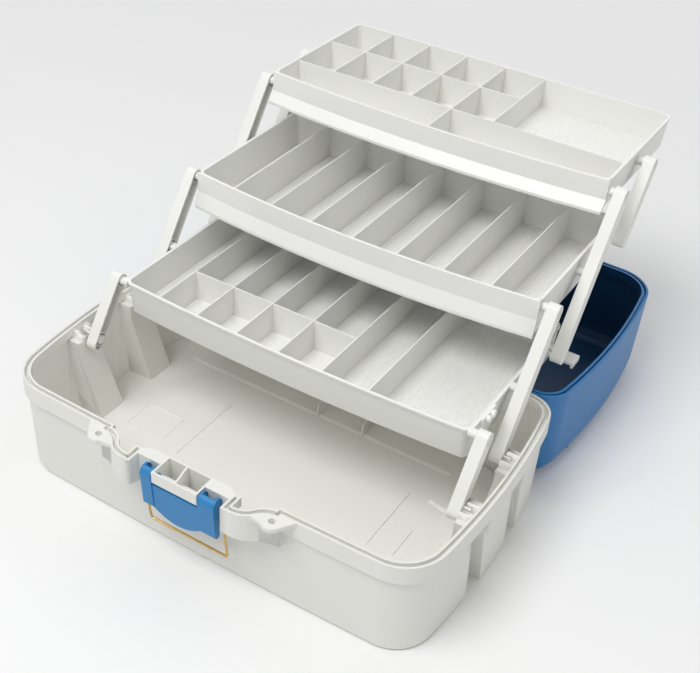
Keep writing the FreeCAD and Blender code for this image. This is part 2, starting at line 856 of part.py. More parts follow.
# Latch
def latch_lever():
    """Return the lever: two rails that hook over the pivot and a plate between them."""
    y, z = lever_pivot_y, lever_pivot_z
    front = y - lever_nose
    low = z - rail_length
    rail_side = [(y, z), (front, z), (front, low + 5), (front + 4, low), (front + rail_depth - 2, low)]
    rail_side += [(front + rail_depth, low + 4), (front + rail_depth, z - lever_nose)]
    rail = side_prism(rail_side, rail_x, rail_x + rail_width)
    nose = rod(rail_x, rail_x + rail_width, y, z, lever_nose)
    pin = rod(box_half_width - box_wall - 2, rail_x + 1, y, z, lever_pin_radius)
    rail = joined(rail, [nose, pin])
    bore = rod(rail_x + rail_width - bail_bite, rail_x + rail_width + 1, bail_y, bail_z, bail_wire + pin_clearance)
    rail = rail.cut(bore)
    plate = block(-rail_x - 1, rail_x + 1, front + 1, front + 1 + plate_depth, low + 3, z - plate_drop)
    bulge = Part.makeCylinder(130, plate_depth, V(0, front + 1, low + 127), V(0, 1, 0))
    plate = plate.common(bulge)
    return at_latch([joined(plate, [rail, mirrored(rail)])])[0]


def wire_bail():
    """Return the square wire bail, hanging."""
    inner = rail_x + rail_width - bail_bite + face_gap
    low = bail_z - bail_length
    bend = bail_bend
    y = bail_y

    def corner(x, z, in_x, in_z):
        """Return a quarter bend whose centre lies in_x, in_z from the corner."""
        middle = bend * (1 - math.sqrt(0.5))
        return Part.Arc(
            V(x + in_x * bend, y, z), V(x + in_x * middle, y, z + in_z * middle), V(x, y, z + in_z * bend)
        ).toShape()

    edges = [
        Part.makeLine(V(inner, y, bail_z), V(bail_x - bend, y, bail_z)),
        corner(bail_x, bail_z, -1, -1),
        Part.makeLine(V(bail_x, y, bail_z - bend), V(bail_x, y, low + bend)),
        corner(bail_x, low, -1, 1),
        Part.makeLine(V(bail_x - bend, y, low), V(bend - bail_x, y, low)),
        corner(-bail_x, low, 1, 1),
        Part.makeLine(V(-bail_x, y, low + bend), V(-bail_x, y, bail_z - bend)),
        corner(-bail_x, bail_z, 1, -1),
        Part.makeLine(V(bend - bail_x, y, bail_z), V(-inner, y, bail_z)),
    ]
    path = Part.Wire(Part.__sortEdges__(edges))
    profile = Part.Wire(Part.makeCircle(bail_wire, V(inner, y, bail_z), X_AXIS))
    wire = path.makePipeShell([profile], True, False)
    return at_latch([wire])[0]


# Carry handle, lid open
def carry_handle():
    """Return the flat folding handle."""
    pin_y, pin_z = handle_pin_place()
    half = handle_half_length
    bottom = pin_z - handle_thickness / 2
    top = pin_z + handle_thickness / 2
    front = handle_y() - handle_reach / 2
    grip = block(-half, half, front, front + handle_width, bottom, top)
    upright = [e for e in grip.Edges if abs(e.tangentAt(e.FirstParameter).z) > 0.9]
    grip = grip.makeFillet(7.0, upright)
    hole = block(12 - half, half - 12, front + handle_width - 4, front + handle_reach, bottom - 1, top + 1)
    legs = both_ends([block(half - 9, half, front + handle_width / 2, pin_y, bottom, top)])
    hubs = both_ends([rod(half - 9, half, pin_y, pin_z, handle_thickness / 2)])
    handle = joined(grip.cut(hole), legs + hubs)
    bores = both_ends([rod(half - 8, half + 1, pin_y, pin_z, handle_pin_radius + pin_clearance)])
    return handle.cut(Part.makeCompound(bores))


def handle_pin(side):
    """Return one pin of the carry handle."""
    pin_y, pin_z = handle_pin_place()
    start = handle_half_length - 7
    end = handle_half_length + handle_margin + handle_pin_length - 3
    pin = rod(start, end, pin_y, pin_z, handle_pin_radius)
    return pin if side > 0 else mirrored(pin)


def build():
    """Return every piece by its node name."""
    nodes = {
        "base_tub": base_tub(),
        "tray_lower": tray_lower(),
        "tray_middle": tray_middle(),
        "tray_upper": tray_upper(),
        "lid": lid(),
        "lid_hinge_pin_right": lid_hinge_pin(hinge_x),
        "lid_hinge_pin_left": lid_hinge_pin(-hinge_x),
        "latch_lever": latch_lever(),
        "wire_bail": wire_bail(),
        "carry_handle": carry_handle(),
        "handle_pin_right": handle_pin(1),
        "handle_pin_left": handle_pin(-1),
    }
    for name, shape in arms().items():
        nodes[name + "_right"] = shape
        nodes[name + "_left"] = mirrored(shape)
    return nodes


os.makedirs("parts", exist_ok=True)
for node, piece in build().items():
    piece.exportStep("parts/" + node + ".step")
    box = piece.optimalBoundingBox()
    print(
        node,
        "solids", len(piece.Solids),
        "valid", piece.isValid(),
        "volume %.0f" % piece.Volume,
        "box %.1f %.1f %.1f %.1f %.1f %.1f" % (box.XMin, box.XMax, box.YMin, box.YMax, box.ZMin, box.ZMax),
    )
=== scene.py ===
"""Looks of an opened three-tray tackle box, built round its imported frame.

Lengths are in metres, save in the classes that say millimetres. Each class holds one sub-assembly with its
sizes and dresses it.
"""

import logging
import math
from dataclasses import dataclass
from enum import Enum
from functools import cache, reduce
from typing import Iterable, Sequence

import bmesh
import bpy
from bmesh.types import BMesh
from bpy.types import ID, Material, Mesh, Node, NodeSocket, NodeTree, Object, bpy_prop_collection
from mathutils import Matrix, Vector


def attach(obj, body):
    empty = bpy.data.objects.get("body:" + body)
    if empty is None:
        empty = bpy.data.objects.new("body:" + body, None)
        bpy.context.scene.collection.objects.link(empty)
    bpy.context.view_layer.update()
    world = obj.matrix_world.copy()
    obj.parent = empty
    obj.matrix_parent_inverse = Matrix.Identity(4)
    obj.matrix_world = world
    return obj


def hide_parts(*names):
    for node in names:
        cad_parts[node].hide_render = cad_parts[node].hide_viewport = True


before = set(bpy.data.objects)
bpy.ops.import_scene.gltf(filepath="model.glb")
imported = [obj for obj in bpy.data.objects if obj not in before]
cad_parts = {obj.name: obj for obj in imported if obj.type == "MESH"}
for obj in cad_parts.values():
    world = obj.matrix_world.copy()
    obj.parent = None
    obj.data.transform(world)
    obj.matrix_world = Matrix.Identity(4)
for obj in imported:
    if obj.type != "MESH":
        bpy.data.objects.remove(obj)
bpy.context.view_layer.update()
LOG = logging.getLogger("tackle_box")
Colour = tuple[float, float, float]
Point = tuple[float, float, float]
Spot = tuple[float, float]

MM_PER_M = 1000.0
M_PER_MM = 0.001
WELD = 0.000001           # vertices nearer than this are one
SINK = 0.0002             # of a mark's foot into the floor that it stands on
NOISE_BAND = (0.3, 0.7)   # most of a noise texture's levels
WHITE = (1.0, 1.0, 1.0, 1.0)
LEFT_RIGHT = (-1, 1)      # the sign of X at either end
LATCH_X = -4.3            # mm, of the latch's middle
PAST = 1.0                # mm, of a cut beyond what it cuts


class Bench:
    """Adds and joins the nodes of one tree."""

    def __init__(self, tree: NodeTree) -> None:
        """Start with an empty tree."""
        self.tree = tree
        tree.nodes.clear()

    def feed(self, socket: NodeSocket, value: object) -> None:
        """Link a socket to another one, or set its value.

        Args:
            socket: The input that is fed.
            value: An output socket, or a plain value.
        """
        if isinstance(value, NodeSocket):
            self.tree.links.new(value, socket)
        else:
            socket.default_value = value

    def add(self, kind: str, inputs: dict | None = None, **settings: object) -> Node:
        """Make one node.

        Args:
            kind: The node's type.
            inputs: What each input, by name or number, is fed.
            settings: Properties of the node.

        Returns:
            The new node.
        """
        node = self.tree.nodes.new(kind)
        for key, value in settings.items():
            setattr(node, key, value)
        for key, value in (inputs or {}).items():
            self.feed(node.inputs[key], value)
        return node

    def one(self, kind: str, inputs: dict | None = None, **settings: object) -> NodeSocket:
        """Make one node and return its first output."""
        return self.add(kind, inputs, **settings).outputs[0]

    def math(self, operation: str, first: object, second: object) -> NodeSocket:
        """Return the result of a Math node."""
        return self.one("ShaderNodeMath", {0: first, 1: second}, operation=operation)

    def vector(self, operation: str, *given: object) -> bpy_prop_collection:
        """Return the outputs of a Vector Math node."""
        return self.add("ShaderNodeVectorMath", dict(enumerate(given)), operation=operation).outputs

    def xyz(self, **given: object) -> NodeSocket:
        """Return a vector of the given X, Y and Z."""
        return self.one("ShaderNodeCombineXYZ", given)

    def span(
        self, value: object, source: Spot = (0.0, 1.0), target: tuple[object, object] = (0.0, 1.0)
    ) -> NodeSocket:
        """Return a value mapped from one span to another."""
        ends = {1: source[0], 2: source[1], 3: target[0], 4: target[1]}
        return self.one("ShaderNodeMapRange", {0: value, **ends})

    def mix(self, share: object, first: object, second: object) -> NodeSocket:
        """Return the mix of two colours."""
        return self.add("ShaderNodeMix", {0: share, 6: first, 7: second}, data_type="RGBA").outputs[2]

    def noise(
        self, place: NodeSocket, per_m: float, detail: float = 2.0, roughness: float = 0.5
    ) -> NodeSocket:
        """Return the level of a noise texture."""
        given = {"Vector": place, "Scale": per_m, "Detail": detail, "Roughness": roughness}
        return self.one("ShaderNodeTexNoise", given)

    def bump(self, height: NodeSocket, depth: float, **normal: object) -> NodeSocket:
        """Return the normal that a height bends, from the one that may be given as Normal."""
        given = {"Strength": 1.0, "Distance": depth, "Height": height, **normal}
        return self.one("ShaderNodeBump", given)


def rgba(colour: Colour) -> tuple[float, float, float, float]:
    """Return a linear colour with full alpha."""
    return (*colour, 1.0)


def blank_material(name: str) -> tuple[Material, Bench, NodeSocket]:
    """Make an empty material.

    Args:
        name: The material's name.

    Returns:
        The material, the bench of its tree and its Object coordinates.
    """
    made = bpy.data.materials.new(name)
    made.use_nodes = True
    bench = Bench(made.node_tree)
    return made, bench, bench.add("ShaderNodeTexCoord").outputs["Object"]


@dataclass(frozen=True)
class MouldedPlastic:
    """Moulded plastic: a spark-eroded grain, faint flow marks and a painted highlight that lightens its edges.
    """

    name: str
    colour: Colour
    roughness: float = 0.46
    rough_spread: float = 0.06
    grain_per_m: float = 1500.0
    grain_roughness: float = 0.6
    grain_depth: float = 0.00004
    flow_per_m: float = 14.0
    flow_depth: float = 0.0006
    mottle: float = 0.03
    # The edge gain and turn set a painted highlight: the colour is lightened along the edges.
    edge_highlight_gain: float = 1.06
    edge_radius: float = 0.0006
    edge_highlight_turn: float = 0.86
    edge_samples: int = 4
    specular: float = 0.5
    # The speckle is a painted sheen: fine dots of lighter and darker colour for the grain catching the light.
    sheen_speckle: float = 0.0
    sheen_speckle_per_m: float = 900.0
    # The inside colour is painted light on the inner faces: lighter than the outer colour for light bounced
    # inside the grey tub, darker for painted shade inside the lid.
    inside: Colour | None = None
    inside_roughness: float = 0.3
    inside_turn: float = 0.02
    heart: Point = (0.0, 0.0, 0.0)

    def outward(self, bench: Bench, place: NodeSocket, normal: NodeSocket) -> NodeSocket:
        """Return 1 on faces that look away from the shell's heart, and 0 on its inner faces, which take the
        painted light of the inside colour.

        Args:
            bench: The material's bench.
            place: Object coordinates.
            normal: The flat normal.

        Returns:
            The share of the outer finish.
        """
        arm = bench.vector("NORMALIZE", bench.vector("SUBTRACT", place, self.heart)[0])[0]
        facing = bench.vector("DOT_PRODUCT", arm, normal)["Value"]
        return bench.span(facing, (-self.inside_turn, self.inside_turn))

    @cache
    def material(self) -> Material:
        """Make the material on first use.

        Returns:
            The material.
        """
        made, bench, place = blank_material(self.name)
        flow = bench.noise(place, self.flow_per_m)
        grain = bench.noise(place, self.grain_per_m, roughness=self.grain_roughness)
        low, high = (tuple(c * gain for c in self.colour) for gain in (1.0 - self.mottle, 1.0 + self.mottle))
        body = bench.mix(flow, rgba(low), rgba(high))
        spread = (self.roughness - self.rough_spread, self.roughness + self.rough_spread)
        rough = bench.span(grain, NOISE_BAND, spread)
        soft = bench.one("ShaderNodeBevel", {"Radius": self.edge_radius}, samples=self.edge_samples)
        flat = bench.add("ShaderNodeNewGeometry").outputs["Normal"]
        # Painted sheen: the colour is scaled up and down in fine dots.
        if self.sheen_speckle:
            sheen_dots = bench.noise(place, self.sheen_speckle_per_m, detail=1.0)
            gain = bench.span(sheen_dots, NOISE_BAND, (1.0 - self.sheen_speckle, 1.0 + self.sheen_speckle))
            body = bench.one("ShaderNodeVectorMath", {0: body, "Scale": gain}, operation="SCALE")
        # Painted light and shade: inner faces take the inside colour, lighter on the grey base, darker on the
        # lid.
        if self.inside:
            outer = self.outward(bench, place, flat)
            body = bench.mix(outer, rgba(self.inside), body)
            rough = bench.span(outer, target=(self.inside_roughness, rough))
        # Painted highlight: the colour lightens where the bevel's soft normal turns away from the flat one,
        # along the edges.
        painted_edge_highlight = bench.span(bench.vector("DOT_PRODUCT", soft, flat)["Value"], (1.0, self.edge_highlight_turn))
        edge = tuple(min(c * self.edge_highlight_gain, 1.0) for c in self.colour)
        body = bench.mix(painted_edge_highlight, body, rgba(edge))
        waves = bench.bump(flow, self.flow_depth, Normal=soft)
        relief = bench.bump(grain, self.grain_depth, Normal=waves)
        given = {"Base Color": body, "Roughness": rough, "Normal": relief}
        shader = bench.one("ShaderNodeBsdfPrincipled", {**given, "Specular IOR Level": self.specular})
        bench.add("ShaderNodeOutputMaterial", {"Surface": shader})
        made.diffuse_color = rgba(self.colour)
        return made


@dataclass(frozen=True)
class DrawnMetal:
    """Drawn wire or pin stock: a metal with fine die lines round it and dull patches."""

    name: str
    colour: Colour
    roughness: float = 0.3
    tarnish: Colour = (0.35, 0.25, 0.1)
    tarnish_share: float = 0.6
    patches_per_m: float = 260.0
    patch_band: Spot = (0.52, 0.75)
    rough_band: Spot = (0.3, 0.8)
    rough_range: Spot = (-0.06, 0.2)
    lines_per_m: float = 2600.0
    line_depth: float = 0.00003

    @cache
    def material(self) -> Material:
        """Make the material on first use.

        Returns:
            The material.
        """
        made, bench, place = blank_material(self.name)
        patches = bench.noise(place, self.patches_per_m, detail=3.0)
        lines = bench.noise(place, self.lines_per_m)
        dull = bench.span(patches, self.patch_band, (0.0, self.tarnish_share))
        tint = bench.mix(dull, rgba(self.colour), rgba(self.tarnish))
        spread = tuple(self.roughness + change for change in self.rough_range)
        rough = bench.span(patches, self.rough_band, spread)
        relief = bench.bump(lines, self.line_depth)
        given = {"Base Color": tint, "Metallic": 1.0, "Roughness": rough, "Normal": relief}
        shader = bench.one("ShaderNodeBsdfPrincipled", given)
        bench.add("ShaderNodeOutputMaterial", {"Surface": shader})
        made.diffuse_color = rgba(self.colour)
        return made


@dataclass(frozen=True)
class Backdrop:
    """A matt pale paper sweep that fades into the light far from the box."""

    name: str = "paper_sweep"
    colour: Colour = (0.84, 0.84, 0.84)
    shade: float = 0.985
    fibres_per_m: float = 3.0
    roughness: float = 0.9
    specular: float = 0.1
    fade: Spot = (0.9, 2.8)
    glow: float = 0.9

    def material(self) -> Material:
        """Make the material.

        Returns:
            The material.
        """
        made, bench, place = blank_material(self.name)
        low = tuple(c * self.shade for c in self.colour)
        tint = bench.mix(bench.noise(place, self.fibres_per_m), rgba(low), rgba(self.colour))
        given = {"Base Color": tint, "Roughness": self.roughness, "Specular IOR Level": self.specular}
        shader = bench.one("ShaderNodeBsdfPrincipled", given)
        far = bench.span(bench.vector("LENGTH", place)["Value"], self.fade)
        path = bench.add("ShaderNodeLightPath").outputs
        seen = bench.math("MAXIMUM", path["Is Camera Ray"], path["Is Glossy Ray"])
        glow = bench.one("ShaderNodeEmission", {"Color": WHITE, "Strength": self.glow})
        share = bench.math("MULTIPLY", far, seen)
        blend = bench.one("ShaderNodeMixShader", {0: share, 1: shader, 2: glow})
        bench.add("ShaderNodeOutputMaterial", {"Surface": blend})
        return made


Finish = MouldedPlastic | DrawnMetal
# GREY's inside colour is painted light: the tub's inner faces are lighter, as if lit by bounced light.
GREY = MouldedPlastic(
    "grey_plastic_grain", (0.74, 0.74, 0.70),
    inside=(0.84, 0.84, 0.795), inside_roughness=0.5, heart=(0.0, 0.0, 0.085),
)
ARM_GREY = MouldedPlastic("arm_plastic_grain", (0.80, 0.80, 0.765))
TRAY_GREY = MouldedPlastic("tray_plastic_grain", (0.82, 0.82, 0.79), roughness=0.4)
# LID_BLUE's inside colour is painted shade: the lid's inner faces are darker.
LID_BLUE = MouldedPlastic(
    "lid_plastic_grain", (0.018, 0.165, 0.42), roughness=0.42, grain_depth=0.00009,
    edge_highlight_gain=2.2, sheen_speckle=0.3, inside=(0.003, 0.045, 0.125), inside_roughness=0.5, heart=(0.0, 0.278, 0.085),
)
LATCH_BLUE = MouldedPlastic(
    "latch_plastic_grain", (0.008, 0.19, 0.46), roughness=0.36, grain_depth=0.00005, edge_highlight_gain=1.6
)
BRASS = DrawnMetal("brass_wire_drawn", (0.62, 0.42, 0.14), roughness=0.16, tarnish=(0.2, 0.13, 0.04))
STEEL = DrawnMetal("pin_steel_drawn", (0.6, 0.6, 0.61), tarnish=(0.3, 0.3, 0.3))


def dress(node: str, finish: Finish) -> None:
    """Give a node of the frame its finish.

    Args:
        node: The node's name.
        finish: The finish that it takes.
    """
    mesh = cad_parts[node].data
    mesh.materials.clear()
    mesh.materials.append(finish.material())
    LOG.info("dressed %s in %s", node, finish.name)


def in_scene(name: str, data: ID) -> Object:
    """Put some data into the scene.

    Args:
        name: The new object's name.
        data: What it shows.

    Returns:
        The object, at the origin.
    """
    made = bpy.data.objects.new(name, data)
    bpy.context.scene.collection.objects.link(made)
    return made


def solved_mesh(host: Object) -> Mesh:
    """Return the plain mesh that an object's modifiers or its curve come to."""
    solved = host.evaluated_get(bpy.context.evaluated_depsgraph_get())
    return bpy.data.meshes.new_from_object(solved)


def piece_from(name: str, work: BMesh, finish: Finish | Backdrop) -> Object:
    """Turn a bmesh into an object of one finish.

    Args:
        name: The object's name.
        work: The mesh, which is freed.
        finish: The finish that it takes.

    Returns:
        The object, at the origin.
    """
    mesh = bpy.data.meshes.new(name)
    work.to_mesh(mesh)
    work.free()
    mesh.materials.append(finish.material())
    return in_scene(name, mesh)


def settle(piece: Object, body: str, packed: str = "") -> None:
    """Put a finished piece on its body.

    Args:
        piece: The piece.
        body: The body that it rides on.
        packed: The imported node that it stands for, if any.
    """
    if packed:
        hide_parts(packed)
    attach(piece, body)
    LOG.info("piece %s rides on %s with %d faces", piece.name, body, len(piece.data.polygons))


class RibTree:
    """The node tree that lays half-round ribs side by side over a compartment's floor."""

    SIZES = ("First", "Pitch", "Half Length", "Bow", "Front", "Back", "Level", "Width", "Height")
    FACETS = 8

    def __init__(self) -> None:
        """Build the tree once, for every compartment to use."""
        tree = bpy.data.node_groups.new("floor_ribs", "GeometryNodeTree")
        self.tree = tree
        face = tree.interface
        face.new_socket("Count", in_out="INPUT", socket_type="NodeSocketInt")
        for size in self.SIZES:
            face.new_socket(size, in_out="INPUT", socket_type="NodeSocketFloat")
        face.new_socket("Finish", in_out="INPUT", socket_type="NodeSocketMaterial")
        face.new_socket("Geometry", in_out="OUTPUT", socket_type="NodeSocketGeometry")
        bench = Bench(tree)
        given = bench.add("NodeGroupInput").outputs
        start = bench.xyz(X=given["First"], Z=given["Level"])
        line = {"Count": given["Count"], "Start Location": start, "Offset": bench.xyz(X=given["Pitch"])}
        row = bench.one("GeometryNodeMeshLine", line)
        place = bench.one("GeometryNodeInputPosition")
        spot = bench.add("ShaderNodeSeparateXYZ", {0: place}).outputs
        share = bench.math("DIVIDE", spot["X"], given["Half Length"])
        arch = bench.math("SUBTRACT", 1.0, bench.math("MULTIPLY", share, share))
        front = bench.math("SUBTRACT", given["Front"], bench.math("MULTIPLY", given["Bow"], arch))
        reach = bench.math("SUBTRACT", given["Back"], front)
        middle = bench.math("MULTIPLY", bench.math("ADD", given["Back"], front), 0.5)
        seat = bench.xyz(X=spot["X"], Y=middle, Z=spot["Z"])
        placed = bench.one("GeometryNodeSetPosition", {"Geometry": row, "Position": seat})
        shape = {"Vertices": self.FACETS, "Radius": 0.5, "Depth": 1.0}
        bar = bench.one("GeometryNodeMeshCylinder", shape)
        turn = {"Geometry": bar, "Rotation": (math.radians(90.0), 0.0, 0.0)}
        laid = bench.one("GeometryNodeTransform", turn)
        scale = bench.xyz(X=given["Width"], Y=reach, Z=bench.math("MULTIPLY", given["Height"], 2.0))
        held = {"Points": placed, "Instance": laid, "Scale": scale}
        stood = bench.one("GeometryNodeInstanceOnPoints", held)
        real = bench.one("GeometryNodeRealizeInstances", {0: stood})
        coated = {"Geometry": real, "Material": given["Finish"]}
        done = bench.one("GeometryNodeSetMaterial", coated)
        bench.add("NodeGroupOutput", {0: done})

    def ribs(self, name: str, count: int, sizes: Sequence[float], finish: Finish) -> Object:
        """Make one field of ribs as a plain mesh.

        Args:
            name: The piece's name.
            count: How many ribs it has.
            sizes: A value for each of SIZES.
            finish: The finish of the ribs.

        Returns:
            The piece, at the origin.
        """
        host = in_scene(name + "_host", bpy.data.meshes.new(name + "_host"))
        maker = host.modifiers.new("ribs", "NODES")
        maker.node_group = self.tree
        keys = {item.name: item.identifier for item in self.tree.interface.items_tree}
        maker[keys["Count"]] = count
        for size, value in zip(self.SIZES, sizes):
            maker[keys[size]] = value
        maker[keys["Finish"]] = finish.material()
        mesh = solved_mesh(host)
        mesh.name = name
        bpy.data.objects.remove(host)
        return in_scene(name, mesh)


@dataclass(frozen=True)
class Ridge:
    """A low straight ridge on a floor, from one (x, y) to another."""

    start: Spot
    end: Spot
    width: float = 0.0012
    height: float = 0.0004

    def rings(self, level: float) -> list[list[Vector]]:
        """Draw the ridge, its top half as wide as its foot.

        Args:
            level: The floor's height.

        Returns:
            The corners of its foot and its top.
        """
        start, end = Vector((*self.start, 0.0)), Vector((*self.end, 0.0))
        along = (end - start).normalized()
        across = Vector((-along.y, along.x, 0.0))
        rings = []
        foot, top = (-SINK, self.width / 2, 0.0), (self.height, self.width / 4, self.width / 4)
        for height, half, inset in (foot, top):
            up = Vector((0.0, 0.0, level + height))
            near, far = start + along * inset + up, end - along * inset + up
            edge = across * half
            rings.append([near - edge, far - edge, far + edge, near + edge])
        return rings


def prisms(stacks: Iterable[Sequence[Sequence[Point]]]) -> BMesh:
    """Skin stacks of rings and close both ends of each.

    Args:
        stacks: The stacks, each of rings with as many points.

    Returns:
        The mesh, its faces turned outwards.
    """
    work = bmesh.new()
    for stack in stacks:
        rings = [[work.verts.new(spot) for spot in ring] for ring in stack]
        for below, above in zip(rings, rings[1:]):
            for n, corner in enumerate(below):
                after = (n + 1) % len(below)
                work.faces.new((corner, below[after], above[after], above[n]))
        work.faces.new(rings[0][::-1])
        work.faces.new(rings[-1])
    bmesh.ops.recalc_face_normals(work, faces=work.faces)
    return work


@dataclass
class BaseFloor:
    """The marks moulded in the base's floor: ridges, a framed panel, a raised rear strip and its ribs."""

    level: float = 0.0028
    ridges: Sequence[Ridge] = (
        Ridge((-0.101, -0.040), (-0.101, 0.053), 0.0022, 0.0009),
        Ridge((0.120, -0.037), (0.120, 0.049), 0.0022, 0.0009),
        Ridge((-0.173, 0.048), (-0.118, 0.048)),
        Ridge((-0.171, -0.031), (-0.126, -0.031)),
        Ridge((-0.171, 0.006), (-0.126, 0.006), 0.0022, 0.0007),
        Ridge((-0.171, -0.031), (-0.171, 0.006)),
        Ridge((-0.126, -0.031), (-0.126, 0.006)),
        Ridge((-0.192, -0.031), (-0.171, -0.031)),
        Ridge((0.1473, -0.033), (0.1473, 0.005), 0.0022, 0.0009),
        Ridge((0.1473, 0.004), (0.180, 0.004)),
    )
    strip: Sequence[Spot] = (
        (-0.190, 0.112), (-0.1895, 0.103), (-0.186, 0.096), (-0.179, 0.0925), (-0.168, 0.091),
        (0.1395, 0.091), (0.1395, 0.047), (0.171, 0.041), (0.1885, 0.041), (0.1885, 0.112),
        (0.170, 0.1235), (-0.170, 0.1235),
    )
    strip_rise: float = 0.0022
    strip_slope: float = 0.003
    slope_end: float = 0.1              # Y behind which the strip's edge is upright
    step: Spot = (0.13, 0.18)           # X between which the edge turns to the front
    wall_y: float = 0.1235
    gussets: Sequence[float] = (-0.017, 0.038)
    gusset_front: float = 0.0905
    gusset_lean: float = 0.0022
    gusset_height: float = 0.015
    gusset_rise: float = 0.004
    gusset_half: float = 0.0009

    def marks(self) -> Object:
        """Return the ridges as one piece."""
        return piece_from("base_floor_ridges", prisms(ridge.rings(self.level) for ridge in self.ridges), GREY)

    def raised(self) -> Object:
        """Make the raised strip along the back, its front edge sloped.

        Returns:
            The strip.
        """
        rings = []
        for height, inset in ((-SINK, 0.0), (self.strip_rise, self.strip_slope)):
            ring = []
            for x, y in self.strip:
                pull_y = inset if y < self.slope_end else 0.0
                pull_x = pull_y if self.step[0] < x < self.step[1] else 0.0
                ring.append((*(Vector((x, y)) + Vector((pull_x, pull_y))), self.level + height))
            rings.append(ring)
        return piece_from("base_floor_strip", prisms([rings]), GREY)

    def ribs(self) -> Object:
        """Make the upright ribs between the strip and the back wall.

        Returns:
            The ribs as one piece.
        """
        low, top = self.level - SINK, self.level + self.gusset_height
        front = (self.gusset_front, low), (self.gusset_front + self.gusset_lean, top)
        side = (front[0], (self.wall_y, low), (self.wall_y, top + self.gusset_rise), front[1])
        half = self.gusset_half
        faces = [(middle - half, middle + half) for middle in self.gussets]
        stacks = [[[(x, *spot) for spot in side] for x in pair] for pair in faces]
        return piece_from("base_floor_ribs", prisms(stacks), GREY)

    def build(self) -> None:
        """Make every mark and set it on the base."""
        for piece in (self.marks(), self.raised(), self.ribs()):
            settle(piece, "base")


class Join(Enum):
    """How one solid works on another."""

    ADD = "UNION"
    CUT = "DIFFERENCE"
    KEEP = "INTERSECT"


class Solid:
    """A closed mesh in millimetres that is built up by joining and cutting."""

    FLAT = 0.002                   # radians, under which neighbouring faces become one
    SHARP = math.radians(25)       # over which an edge shades as sharp
    AREA_WEIGHT = 100

    def __init__(self, work: BMesh) -> None:
        """Take over a mesh.

        Args:
            work: The mesh, which is freed.
        """
        bmesh.ops.recalc_face_normals(work, faces=work.faces)
        self.mesh = bpy.data.meshes.new("work")
        work.to_mesh(self.mesh)
        work.free()

    @classmethod
    def stack(cls, rings: Sequence[Sequence[Point]]) -> "Solid":
        """Return the solid through a stack of rings with as many points each."""
        return cls(prisms([rings]))

    @classmethod
    def plan(cls, corners: Sequence[Spot], low: float, high: float) -> "Solid":
        """Return an upright prism on a plan of (x, y) corners."""
        return cls.stack([[(x, y, z) for x, y in corners] for z in (low, high)])

    @classmethod
    def side(cls, corners: Sequence[Spot], left: float, right: float) -> "Solid":
        """Return a prism along X on a side view of (y, z) corners."""
        return cls.stack([[(x, y, z) for y, z in corners] for x in (left, right)])

    @classmethod
    def block(cls, x: Spot, y: Spot, z: Spot) -> "Solid":
        """Return a block between two levels of each axis."""
        return cls.plan([(x[0], y[0]), (x[1], y[0]), (x[1], y[1]), (x[0], y[1])], *z)

    @classmethod
    def rod(cls, ends: Sequence[float], y: float, z: float, radius: float) -> "Solid":
        """Return a round rod along X."""
        return cls.side(ring_points(y, z, radius), *ends)

    @classmethod
    def joined(cls, solids: Iterable["Solid"]) -> "Solid":
        """Return the first of several solids with the others joined to it."""
        return reduce(cls.use, solids)

    def use(self, other: "Solid", how: Join = Join.ADD) -> "Solid":
        """Work another solid into this one.

        Args:
            other: The second solid.
            how: Whether it is joined, cut away or kept in common.

        Returns:
            This solid, changed.
        """
        host, tool = in_scene("work", self.mesh), in_scene("tool", other.mesh)
        maker = host.modifiers.new("join", "BOOLEAN")
        maker.operation = how.value
        maker.solver = "EXACT"
        maker.object = tool
        self.mesh = solved_mesh(host)
        for item in (host, tool):
            bpy.data.objects.remove(item)
        return self

    def finished(self, name: str, finish: Finish) -> Object:
        """Turn the solid into a piece in metres.

        Args:
            name: The piece's name.
            finish: The finish that it takes.

        Returns:
            The piece, shaded flat on its flats and sharp at its edges.
        """
        work = bmesh.new()
        work.from_mesh(self.mesh)
        bmesh.ops.scale(work, vec=(M_PER_MM, M_PER_MM, M_PER_MM), verts=work.verts)
        bmesh.ops.dissolve_limit(work, angle_limit=self.FLAT, verts=work.verts, edges=work.edges)
        made = piece_from(name, work, finish)
        made.data.shade_smooth()
        made.data.set_sharp_from_angle(angle=self.SHARP)
        evener = made.modifiers.new("even", "WEIGHTED_NORMAL")
        evener.keep_sharp = True
        evener.weight = self.AREA_WEIGHT
        mesh = solved_mesh(made)
        made.modifiers.clear()
        made.data = mesh
        return made


def ring_points(x: float, y: float, radius: float, count: int = 28) -> list[Spot]:
    """Return points round a circle."""
    turns = (2 * math.pi * n / count for n in range(count))
    return [(x + radius * math.cos(turn), y + radius * math.sin(turn)) for turn in turns]


def s_curve(start: Spot, end: Spot, steps: int = 7) -> list[Spot]:
    """Draw two arcs that leave and arrive parallel to X.

    Args:
        start: The first point.
        end: The last point.
        steps: How many straight pieces stand for each arc.

    Returns:
        The points along both arcs.
    """
    half_x, half_y = (end[0] - start[0]) / 2, (end[1] - start[1]) / 2
    radius = (half_x ** 2 + half_y ** 2) / (2 * half_y)
    whole = math.asin(half_x / radius)
    near, far = [], []
    for n in range(steps + 1):
        turn = whole * n / steps
        dx, dy = radius * math.sin(turn), radius * (1 - math.cos(turn))
        near.append((start[0] + dx, start[1] + dy))
        far.append((end[0] - dx, end[1] - dy))
    return near + far[-2::-1]


